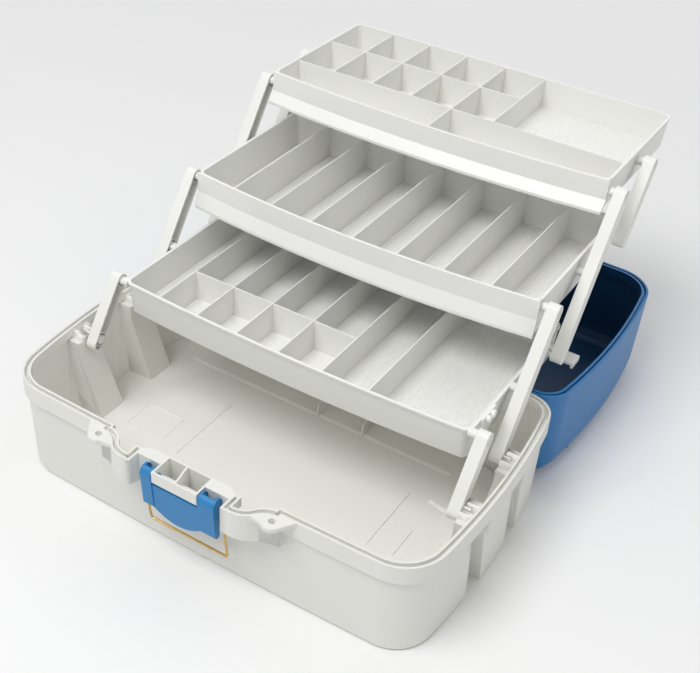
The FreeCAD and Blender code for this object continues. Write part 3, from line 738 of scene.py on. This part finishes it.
@dataclass
class BaseShell:
    """The base's moulding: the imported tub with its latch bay, ears and arm posts worked to their final form.

    Its sizes are in millimetres. An inset is measured inwards from the lip's outer face, and a drop is
    measured down from the rim.
    """

    height: float = 108.5
    half_length: float = 221.8
    half_depth: float = 133.9
    end_bow: float = 10.6
    front_bow: float = 3.8
    draft: float = 1.8
    skin: float = 2.8
    skirt_drop: float = 19.0
    skirt_step: float = 3.0
    ledge_drop: float = 10.0
    groove_drop: float = 4.0
    rim: float = 7.6
    lip: float = 2.2
    inner_step: float = 5.8
    # The part of the front that is made anew, to both sides of the latch
    window: float = 113.0
    window_back: float = -122.0
    window_low: float = 55.5
    window_steps: int = 24
    window_room: Spot = (-190.0, 20.0)
    overlap: float = 0.05
    # The latch bay and the notch in it
    bay_front: float = -158.6
    bay_half: float = 97.0
    bay_flat: float = 9.0
    bay_end: float = -141.0
    bay_low: float = 60.0
    bay_drop: float = 36.0
    bay_rise: float = 8.0
    lip_line: float = -134.8
    wall: float = 2.4
    notch_half: float = 49.2
    notch_back: float = -146.0
    ledge_back: float = -133.5
    shelf_cut: float = 7.0
    # The ears
    ear: Point = (93.7, -146.4, 10.0)
    ear_tip: float = 8.0
    ear_thickness: float = 4.0
    ear_hole: float = 3.2
    ear_points: int = 40
    # The latch's box, stepped at its front
    box_half: float = 24.4
    box_wall: float = 2.0
    box_step: float = 10.0
    box_drops: Spot = (34.0, 12.0)
    rib_half: float = 1.0
    rib_ends: Spot = (0.5, -2.7)
    # The arm posts, at each end and pivot
    pivots: Sequence[float] = (-31.1, 46.7)
    pivot_z: float = 97.8
    packed_half: float = 12.6
    packed_top: float = 91.0
    packed_face: float = 200.0
    post_x: float = 210.3
    post_inset: float = 4.4
    post_foot: tuple[float, ...] = (1.5, -10.0, 23.0, 14.5)   # level, front, back and flare
    post_top: Point = (-19.0, 9.6, 0.0)                       # front, back and flare
    knee_drop: float = 13.5
    taper_height: float = 90.0
    pocket_foot: tuple[float, ...] = (-1.0, -6.6, 20.0, 14.5)
    pocket_top: Point = (-16.0, 6.6, 0.0)
    pocket_rise: float = 3.2
    pocket_level: float = 84.0
    pocket_face: float = 3.2
    pocket_reach: float = 250.0
    bore: float = 3.3
    bore_reach: Spot = (-1.0, 6.55)
    slot_half: float = 2.5
    slot_height: float = 12.0

    def front(self, x: float, inset: float) -> float:
        """Follow the bowed front.

        Args:
            x: The place along it.
            inset: How far inside the lip's outer face.

        Returns:
            Its Y.
        """
        half, edge = self.half_length - inset, -self.half_depth + inset
        radius = (half ** 2 + self.front_bow ** 2) / (2 * self.front_bow)
        return edge - self.front_bow + radius - math.sqrt(radius ** 2 - x ** 2)

    def end(self, y: float, inset: float) -> float:
        """Follow the bowed end.

        Args:
            y: The place along it.
            inset: How far inside the lip's outer face.

        Returns:
            Its X.
        """
        half = self.half_depth - inset
        radius = (half ** 2 + self.end_bow ** 2) / (2 * self.end_bow)
        return self.half_length - inset + self.end_bow - radius + math.sqrt(radius ** 2 - y ** 2)

    def strip(self, inset: float, spare: float = 0.0) -> list[Spot]:
        """Draw the window's strip of the front.

        Args:
            inset: Of its front edge.
            spare: How far its other edges stand out.

        Returns:
            Its plan.
        """
        reach = self.window + spare
        steps = self.window_steps
        across = [LATCH_X - reach + 2 * reach * n / steps for n in range(steps + 1)]
        ring = [(x, self.front(x, inset)) for x in across]
        return ring + [(across[-1], self.window_back + spare), (across[0], self.window_back + spare)]

    def drafted(self, levels: Sequence[Spot], spare: float = 0.0) -> Solid:
        """Return the strip's solid through a (z, inset) at each level."""
        return Solid.stack([[(x, y, z) for x, y in self.strip(inset, spare)] for z, inset in levels])

    def placed(self, half: list[Spot]) -> list[Spot]:
        """Return a plan drawn right of the latch's middle with its mirror image, in place."""
        whole = half + [(-x, y) for x, y in reversed(half)]
        return [(x + LATCH_X, y) for x, y in whole]

    def bay(self, inset: float, low: float, high: float) -> Solid:
        """Make the latch bay's solid.

        Args:
            inset: How far it is moved in.
            low: Its lowest level.
            high: Its highest level.

        Returns:
            The solid, its underside rising to the front.
        """
        inner, front = self.notch_half + inset, self.bay_front + inset
        far, flat = self.bay_half - inset, self.notch_half + self.bay_flat
        back = self.lip_line + self.rim + inset
        half = [(inner, self.notch_back + inset), (inner, front)]
        half += s_curve((flat, front), (far, self.bay_end + inset))
        half += [(far, back)]
        foot, top = self.height - self.bay_drop + inset, self.height + 5 * PAST
        side = [(front - PAST, foot + self.bay_rise), (self.lip_line, foot), (back + PAST, foot)]
        side += [(back + PAST, top), (front - PAST, top)]
        solid = Solid.plan(self.placed(half), low, high)
        return solid.use(Solid.side(side, -self.half_length, self.half_length), Join.KEEP)

    def ears(self) -> tuple[Solid, Solid]:
        """Make both ears.

        Returns:
            The ears, and their holes.
        """
        x, y, radius = self.ear
        slant, tip = radius * math.sqrt(0.5), x + radius + self.ear_tip
        start, low = self.notch_half + 2 * self.bay_flat, self.height - self.ear_thickness
        near, far = self.lip_line - self.wall, self.lip_line + self.wall
        pads, holes = [], []
        for side in LEFT_RIGHT:
            plan = [(start, self.bay_end - radius), (x - slant, y - slant), (x + slant, y - slant)]
            plan += [(tip, near), (tip, far), (start, far)]
            plan = [(LATCH_X + side * px, py) for px, py in plan][::side]
            centre = LATCH_X + side * x
            pad = Solid.plan(ring_points(centre, y, radius, self.ear_points), low, self.height)
            pads.append(pad.use(Solid.plan(plan, low, self.height)))
            ring = ring_points(centre, y, self.ear_hole)
            holes.append(Solid.plan(ring, low - PAST, self.height + PAST))
        return Solid.joined(pads), Solid.joined(holes)

    def case(self) -> Solid:
        """Make the latch's box before it is hollowed.

        Returns:
            The box.
        """
        low, step = (self.height - drop for drop in self.box_drops)
        ends = (LATCH_X - self.box_half, LATCH_X + self.box_half)
        upper = Solid.block(ends, (self.bay_front, self.ledge_back), (step, self.height))
        front = self.bay_front + self.box_step
        return upper.use(Solid.block(ends, (front, self.ledge_back), (low, step + PAST)))

    def box(self) -> tuple[Solid, Solid]:
        """Make the latch's two-pocket box with its curved rib.

        Returns:
            The box, and the room in it.
        """
        low, step = (self.height - drop for drop in self.box_drops)
        inner, wall = self.box_half - self.box_wall, self.box_wall
        ends, back = (LATCH_X - inner, LATCH_X + inner), self.ledge_back - wall
        room = Solid.block(ends, (self.bay_front + wall, back), (step + wall, self.height + PAST))
        room.use(Solid.block(ends, (self.bay_front + self.box_step + wall, back), (low + wall, self.height)))
        first, last = self.rib_ends
        curve = s_curve((self.bay_front + PAST, first), (self.ledge_back - PAST, last))
        rib = [(LATCH_X + x - self.rib_half, y) for y, x in curve]
        rib += [(LATCH_X + x + self.rib_half, y) for y, x in reversed(curve)]
        web = Solid.plan(rib, low, self.height).use(self.case(), Join.KEEP)
        return self.case().use(room, Join.CUT).use(web), room

    def latch_front(self) -> Solid:
        """Make the front strip with the bay, its ledge, the ears and the latch's box.

        Returns:
            The strip, to be joined to the tub.
        """
        top, inner = self.height, self.rim - self.lip
        skirt, ledge, groove = top - self.skirt_drop, top - self.ledge_drop, top - self.groove_drop
        taper = self.draft * (1 - self.window_low / skirt)
        body = self.drafted([(self.window_low, self.skirt_step + taper), (skirt, self.skirt_step)])
        body.use(Solid.plan(self.strip(0.0), skirt, top)).use(self.bay(0.0, self.bay_low, top))
        ears, holes = self.ears()
        body.use(ears).use(holes, Join.CUT)
        taper = self.draft * (1 - (self.window_low - self.skin) / (ledge - self.skin))
        levels = [(self.window_low - PAST, self.inner_step + taper), (ledge, self.inner_step)]
        body.use(self.drafted(levels, PAST), Join.CUT)
        body.use(Solid.plan(self.strip(self.rim, PAST), ledge - PAST, top + PAST), Join.CUT)
        body.use(self.bay(self.wall, self.bay_low, ledge), Join.CUT)
        body.use(self.bay(self.rim, self.bay_low, top + 1.5 * PAST), Join.CUT)
        wide = Solid.plan(self.strip(self.lip, PAST), groove, top + PAST)
        wide.use(self.bay(self.lip, groove, top + PAST))
        narrow = Solid.plan(self.strip(inner, 2 * PAST), groove - PAST, top + 2 * PAST)
        narrow.use(self.bay(inner, groove - PAST, top + 2 * PAST))
        body.use(wide.use(narrow, Join.CUT), Join.CUT)
        half, corner = self.notch_half + self.wall, self.ledge_back - self.shelf_cut
        shelf = [(half - self.shelf_cut, self.ledge_back), (half, corner), (half, self.notch_back)][::-1]
        body.use(Solid.plan(self.placed(shelf), top - self.skin, top))
        box, room = self.box()
        return body.use(room, Join.CUT).use(box)

    def column(self, side: int, y: float, levels: Sequence[tuple[float, ...]]) -> Solid:
        """Make a column that stands against one end, or goes on through it.

        Args:
            side: The sign of X at the end.
            y: The pivot's Y.
            levels: At each level Z, the front and back from the pivot, the inner face's X and the end's
                inset, which is left out where the column goes through.

        Returns:
            The column.
        """
        rings = []
        for z, front, back, face, *inset in levels:
            near, far = y + front, y + back
            ends = [self.end(depth, *inset) if inset else self.pocket_reach for depth in (near, far)]
            ring = [(face, near), (ends[0], near), (ends[1], far), (face, far)]
            rings.append([(side * x, depth, z) for x, depth in ring][::side])
        return Solid.stack(rings)

    def posts(self, side: int, y: float) -> tuple[Solid, Solid, Solid]:
        """Make what one arm's post is worked with.

        Args:
            side: The sign of X at the end.
            y: The pivot's Y.

        Returns:
            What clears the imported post, the leaning post, and its hollow with the bore and the slot.
        """
        knee, half = self.pivot_z - self.knee_drop, self.packed_half
        run = self.height - self.ledge_drop - self.skin
        packed, leaning = [], []
        for z in (self.skin + 0.02, self.packed_top):
            inset = self.inner_step + self.draft * (1 - (z - self.skin) / run)
            packed.append((z, -half, half, self.packed_face, inset))
        for z, front, back, flare in (self.post_foot, (knee, *self.post_top), (self.pivot_z, *self.post_top)):
            inset = self.post_inset + self.draft * max(0.0, 1 - z / self.taper_height)
            leaning.append((z, front, back, self.post_x - flare, inset))
        upper = [(z, *self.pocket_top) for z in (knee - self.pocket_rise, self.pocket_level)]
        face = self.post_x + self.pocket_face
        pocket = [(z, front, back, face - flare) for z, front, back, flare in (self.pocket_foot, *upper)]
        hole = self.column(side, y, pocket)
        ends = sorted(side * (self.post_x + reach) for reach in self.bore_reach)
        slot = (self.pivot_z, self.pivot_z + self.slot_height)
        hole.use(Solid.rod(ends, y, self.pivot_z, self.bore))
        hole.use(Solid.block(tuple(ends), (y - self.slot_half, y + self.slot_half), slot))
        return self.column(side, y, packed), self.column(side, y, leaning), hole

    def build(self) -> None:
        """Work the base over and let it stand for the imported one."""
        work = bmesh.new()
        work.from_mesh(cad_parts["base_tub"].data)
        bmesh.ops.remove_doubles(work, verts=work.verts, dist=WELD)
        bmesh.ops.scale(work, vec=(MM_PER_M, MM_PER_M, MM_PER_M), verts=work.verts)
        tub = Solid(work)
        reach = self.window - self.overlap
        ends = (LATCH_X - reach, LATCH_X + reach)
        depth = (self.window_room[0], self.window_back)
        levels = (self.window_low + self.overlap, self.height + self.window_room[1])
        tub.use(Solid.block(ends, depth, levels), Join.CUT).use(self.latch_front())
        sets = zip(*(self.posts(side, y) for side in LEFT_RIGHT for y in self.pivots))
        clear, posts, pockets = (Solid.joined(solids) for solids in sets)
        tub.use(clear, Join.CUT).use(posts).use(pockets, Join.CUT)
        settle(tub.finished("base_moulding", GREY), "base", "base_tub")


@dataclass
class Latch:
    """The lever's two hollow rails and plate, and the wire bail under it. Its sizes are in millimetres."""

    shift: float = 2.9          # of the rails' outer faces and the bail, to the right
    pivot: Spot = (-152.4, 101.3)
    nose: float = 6.8
    length: float = 38.4
    inner: float = 25.1
    outer: float = 39.6
    skin: float = 2.2
    lean: float = 2.5
    foot: float = 6.4
    foot_cut: float = 2.5
    heel: float = 1.0
    pin: Spot = (20.4, 2.6)     # its end from the middle, and its radius
    bow: float = 9.5
    bow_steps: int = 12
    plate: Spot = (8.7, 3.0)    # its top below the pivot, and its thickness
    plate_set: float = 1.0
    bail_drop: float = 19.3
    bail_set: float = 1.9
    bail_length: float = 49.5
    bail_lean: float = 8.0
    bail_reach: float = 3.35
    bail_hook: float = 5.65
    bend: float = 3.0
    bend_steps: int = 5
    wire: float = 1.2
    wire_facets: int = 4

    def rail(self, side: int) -> Solid:
        """Make one hollow rail with its nose and pin.

        Args:
            side: The sign of X at its end.

        Returns:
            The rail.
        """
        y, z = self.pivot
        front, low = y - self.nose, z - self.length
        foot = front + self.lean
        back, cut = foot + self.foot, self.foot_cut
        outer = self.shift + side * self.outer
        near, far = sorted((side * self.inner + LATCH_X, outer + LATCH_X))
        profile = [(y, z), (front, z), (foot, low + cut), (foot + cut, low)]
        profile += [(back - self.heel, low), (back, low + self.heel), (back, z)]
        solid = Solid.side(profile, near, far).use(Solid.rod((near, far), y, z, self.nose))
        top, rear, step = z + 2 * self.nose, y + 2 * self.nose, low + self.foot
        hollow = [(y - self.heel, top), (rear, top), (rear, step), (foot + self.skin, step)]
        hollow.append((y - self.heel, z - self.nose))
        solid.use(Solid.side(hollow, near + self.skin, far - self.skin), Join.CUT)
        start, radius = self.pin
        ends = sorted((side * start + LATCH_X, side * (self.inner + 1) + LATCH_X))
        return solid.use(Solid.rod(ends, y, z, radius))

    def lever(self) -> Object:
        """Make the plate with an arched foot and its two rails.

        Returns:
            The lever.
        """
        y, z = self.pivot
        front, top = y - self.nose + self.plate_set, z - self.plate[0]
        slant = self.lean / self.length
        reach, steps = self.inner + 1, self.bow_steps
        spans = [reach * n / steps for n in range(-steps, steps + 1)]
        foot = [z - self.length - self.bow * (1 - (x / self.inner) ** 2) + 1.0 for x in spans]
        outline = [(LATCH_X + x, level) for x, level in zip(spans, foot)]
        outline += [(LATCH_X + reach, top), (LATCH_X - reach, top)]
        rings = []
        for depth in (0.0, self.plate[1]):
            rings.append([(x, front + depth + slant * (z - level), level) for x, level in outline])
        solid = Solid.joined([Solid.stack(rings), *(self.rail(side) for side in reversed(LEFT_RIGHT))])
        return solid.finished("latch_lever_moulding", LATCH_BLUE)

    def bail(self) -> Object:
        """Make the bail, a wire bent square, hanging from the lever.

        Returns:
            The bail.
        """
        y, z = self.pivot[0] + self.bail_set, self.pivot[1] - self.bail_drop
        far, bend, steps = self.outer + self.bail_reach, self.bend, self.bend_steps
        half = [(self.outer - self.bail_hook, 0.0)]
        for drop, in_z in ((0.0, -1), (-self.bail_length, 1)):
            turns = [math.pi / 2 * n / steps for n in range(steps + 1)]
            arc = [(far - bend * (1 - math.sin(t)), drop + in_z * bend * (1 - math.cos(t))) for t in turns]
            half += arc if drop == 0.0 else arc[::-1]
        points = half + [(-x, drop) for x, drop in reversed(half)]
        lean = math.radians(self.bail_lean)
        curve = bpy.data.curves.new("bail", "CURVE")
        curve.dimensions = "3D"
        curve.bevel_depth, curve.bevel_resolution = self.wire / MM_PER_M, self.wire_facets
        curve.use_fill_caps = True
        spline = curve.splines.new("POLY")
        spline.points.add(len(points) - 1)
        for spot, (x, drop) in zip(spline.points, points):
            place = (x + LATCH_X + self.shift, y - drop * math.sin(lean), z + drop * math.cos(lean))
            spot.co = (*(value / MM_PER_M for value in place), 1.0)
        host = in_scene("bail", curve)
        work = bmesh.new()
        work.from_mesh(solved_mesh(host))
        bpy.data.objects.remove(host)
        bmesh.ops.remove_doubles(work, verts=work.verts, dist=WELD)
        bmesh.ops.recalc_face_normals(work, faces=work.faces)
        made = piece_from("bail_wire", work, BRASS)
        made.data.shade_smooth()
        return made

    def build(self) -> None:
        """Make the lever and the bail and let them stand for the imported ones."""
        settle(self.lever(), "latch_lever", "latch_lever")
        settle(self.bail(), "wire_bail", "wire_bail")


@dataclass(frozen=True)
class Fitting:
    """A small form of blocks and of rods along X, in millimetres, that stands on one body."""

    name: str
    body: str
    slot: str
    finish: Finish
    blocks: Sequence[tuple[Spot, Spot, Spot]]
    rods: Sequence[tuple[Spot, float, float, float]] = ()

    def build(self) -> None:
        """Make the fitting and set it on its body."""
        solids = [Solid.block(*block) for block in self.blocks] + [Solid.rod(*rod) for rod in self.rods]
        settle(Solid.joined(solids).finished(self.name, self.finish), self.body)


REST_KNOBS = Fitting(
    "tray_lower_rests", "tray_lower", "grey_plastic", TRAY_GREY,
    blocks=(((190.8, 193.9), (21.465, 48.465), (145.435, 152.625)),),
    rods=(((190.9, 197.45), 30.465, 149.035, 3.6), ((190.9, 197.45), 39.465, 149.035, 3.6)),
)
STOP_TAB = Fitting(
    "tray_lower_stop", "tray_lower", "grey_plastic", TRAY_GREY,
    blocks=(
        ((188.4, 214.8), (181.265, 198.265), (120.135, 122.735)),
        ((212.4, 214.8), (181.265, 198.265), (117.135, 122.735)),
    ),
)
LID_WEBS = Fitting(
    "lid_webs", "lid", "lid_plastic", LID_BLUE,
    blocks=(((208.8, 221.5), (200.9, 203.3), (2.8, 70.0)), ((-221.5, -208.8), (200.9, 203.3), (2.8, 70.0))),
)


@dataclass
class Compartment:
    """One ribbed compartment: its span along the box and from front to back, from the tray's rim corner."""

    left: float
    right: float
    front: float
    back: float
    bow: float = 0.0


@dataclass
class Tray:
    """A tray: its rim corner, its depth below the rim and the floors that are ribbed."""

    node: str
    rim_y: float
    rim_z: float
    height: float
    compartments: list[Compartment]
    floor: float = 0.0020
    half_length: float = 0.192
    pitch: float = 0.0029
    rib_width: float = 0.0013
    rib_height: float = 0.0005

    def dress(self, ribs: RibTree) -> None:
        """Give the tray its finish and rib its floors.

        Args:
            ribs: The tree that makes rib fields.
        """
        dress(self.node, TRAY_GREY)
        level = self.rim_z - self.height + self.floor
        for number, place in enumerate(self.compartments, 1):
            count = int((place.right - place.left) / self.pitch)
            first = (place.left + place.right - (count - 1) * self.pitch) / 2
            front, back = self.rim_y + place.front, self.rim_y + place.back
            values = (first, self.pitch, self.half_length, place.bow, front, back)
            values += (level, self.rib_width, self.rib_height)
            piece = ribs.ribs(f"{self.node}_ribs_{number}", count, values, TRAY_GREY)
            settle(piece, self.node)


@dataclass
class Studio:
    """The camera, the lamps and the paper sweep."""

    lens: float = 61.01
    sensor: float = 36.0
    eye: Point = (0.4781, -0.7209, 0.8193)
    right: Point = (0.846656502, 0.529239064, 0.055486759)
    up: Point = (-0.354978675, 0.484026449, 0.799817815)
    back: Point = (0.396437773, -0.696867570, 0.597672721)
    aim: Point = (0.0, 0.12, 0.1)
    horizon_light: float = 0.38
    zenith_light: float = 0.70
    floor_half: float = 6.0
    lamps: Sequence[tuple[str, Point, float, float]] = (
        ("key", (-0.35, -1.2, 2.5), 1.5, 41.0),
        ("fill", (1.9, -0.2, 1.0), 1.4, 1.5),
        ("rim", (0.3, 1.6, 2.2), 1.6, 5.0),
    )

    def camera(self) -> None:
        """Make the camera and use it."""
        data = bpy.data.cameras.new("camera")
        data.sensor_width = self.sensor
        data.sensor_fit = "HORIZONTAL"
        data.lens = self.lens
        made = in_scene("camera", data)
        axes = Matrix((self.right, self.up, self.back)).transposed().to_4x4()
        made.matrix_world = Matrix.Translation(self.eye) @ axes
        bpy.context.scene.camera = made

    def light(self) -> None:
        """Make the lamps and the world's soft light."""
        for name, place, size, power in self.lamps:
            data = bpy.data.lights.new(name, "AREA")
            data.shape = "DISK"
            data.size = size
            data.energy = power
            made = in_scene(name, data)
            made.location = place
            made.rotation_euler = (Vector(self.aim) - Vector(place)).to_track_quat("-Z", "Y").to_euler()
        world = bpy.data.worlds.new("studio")
        bpy.context.scene.world = world
        world.use_nodes = True
        bench = Bench(world.node_tree)
        path = bench.add("ShaderNodeLightPath").outputs
        seen = bench.math("MAXIMUM", path["Is Camera Ray"], path["Is Glossy Ray"])
        seen = bench.math("MAXIMUM", seen, path["Is Transmission Ray"])
        place = bench.add("ShaderNodeTexCoord").outputs["Generated"]
        height = bench.add("ShaderNodeSeparateXYZ", {0: place}).outputs["Z"]
        sky = bench.span(height, target=(self.horizon_light, self.zenith_light))
        strength = bench.span(seen, target=(sky, 1.0))
        glow = bench.one("ShaderNodeBackground", {"Color": WHITE, "Strength": strength})
        bench.add("ShaderNodeOutputWorld", {"Surface": glow})

    def floor(self) -> None:
        """Lay the paper sweep under the box."""
        work = bmesh.new()
        bmesh.ops.create_grid(work, x_segments=2, y_segments=2, size=self.floor_half)
        piece_from("floor", work, Backdrop())


def main() -> None:
    """Build the studio and dress the box, piece by piece."""
    logging.basicConfig(level=logging.INFO, format="%(name)s: %(message)s")
    bpy.context.scene.view_settings.view_transform = "Standard"
    studio = Studio()
    studio.camera()
    studio.light()
    studio.floor()
    finishes = {"base_tub": GREY}
    finishes |= {node: ARM_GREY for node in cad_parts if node.startswith("arm_")}
    finishes |= {"lid": LID_BLUE, "carry_handle": LID_BLUE, "latch_lever": LATCH_BLUE, "wire_bail": BRASS}
    finishes |= {node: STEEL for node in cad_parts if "_pin_" in node}
    for node, finish in finishes.items():
        dress(node, finish)
    BaseFloor().build()
    BaseShell().build()
    Latch().build()
    for fitting in (REST_KNOBS, STOP_TAB, LID_WEBS):
        fitting.build()
    ribs = RibTree()
    lower = [
        Compartment(left, right, 0.006, 0.1915, 0.0067)
        for left, right in ((-0.1855, -0.1495), (0.0445, 0.0885), (0.0935, 0.1855))
    ]
    middle = [(low + 0.0015, low + 0.0465) for low in (-0.144, -0.096, -0.048, 0.0, 0.048, 0.096)]
    middle += [(-0.1855, -0.1465), (0.1465, 0.1855)]
    middle = [Compartment(left, right, 0.0065, 0.1765, 0.0125) for left, right in middle]
    upper = [Compartment(0.0505, 0.1855, 0.0455, 0.1675)]
    Tray("tray_lower", 0.00146, 0.15263, 0.0355, lower).dress(ribs)
    Tray("tray_middle", 0.12026, 0.22204, 0.0412, middle).dress(ribs)
    Tray("tray_upper", 0.25329, 0.28516, 0.0338, upper).dress(ribs)


if __name__ == "__main__":
    main()
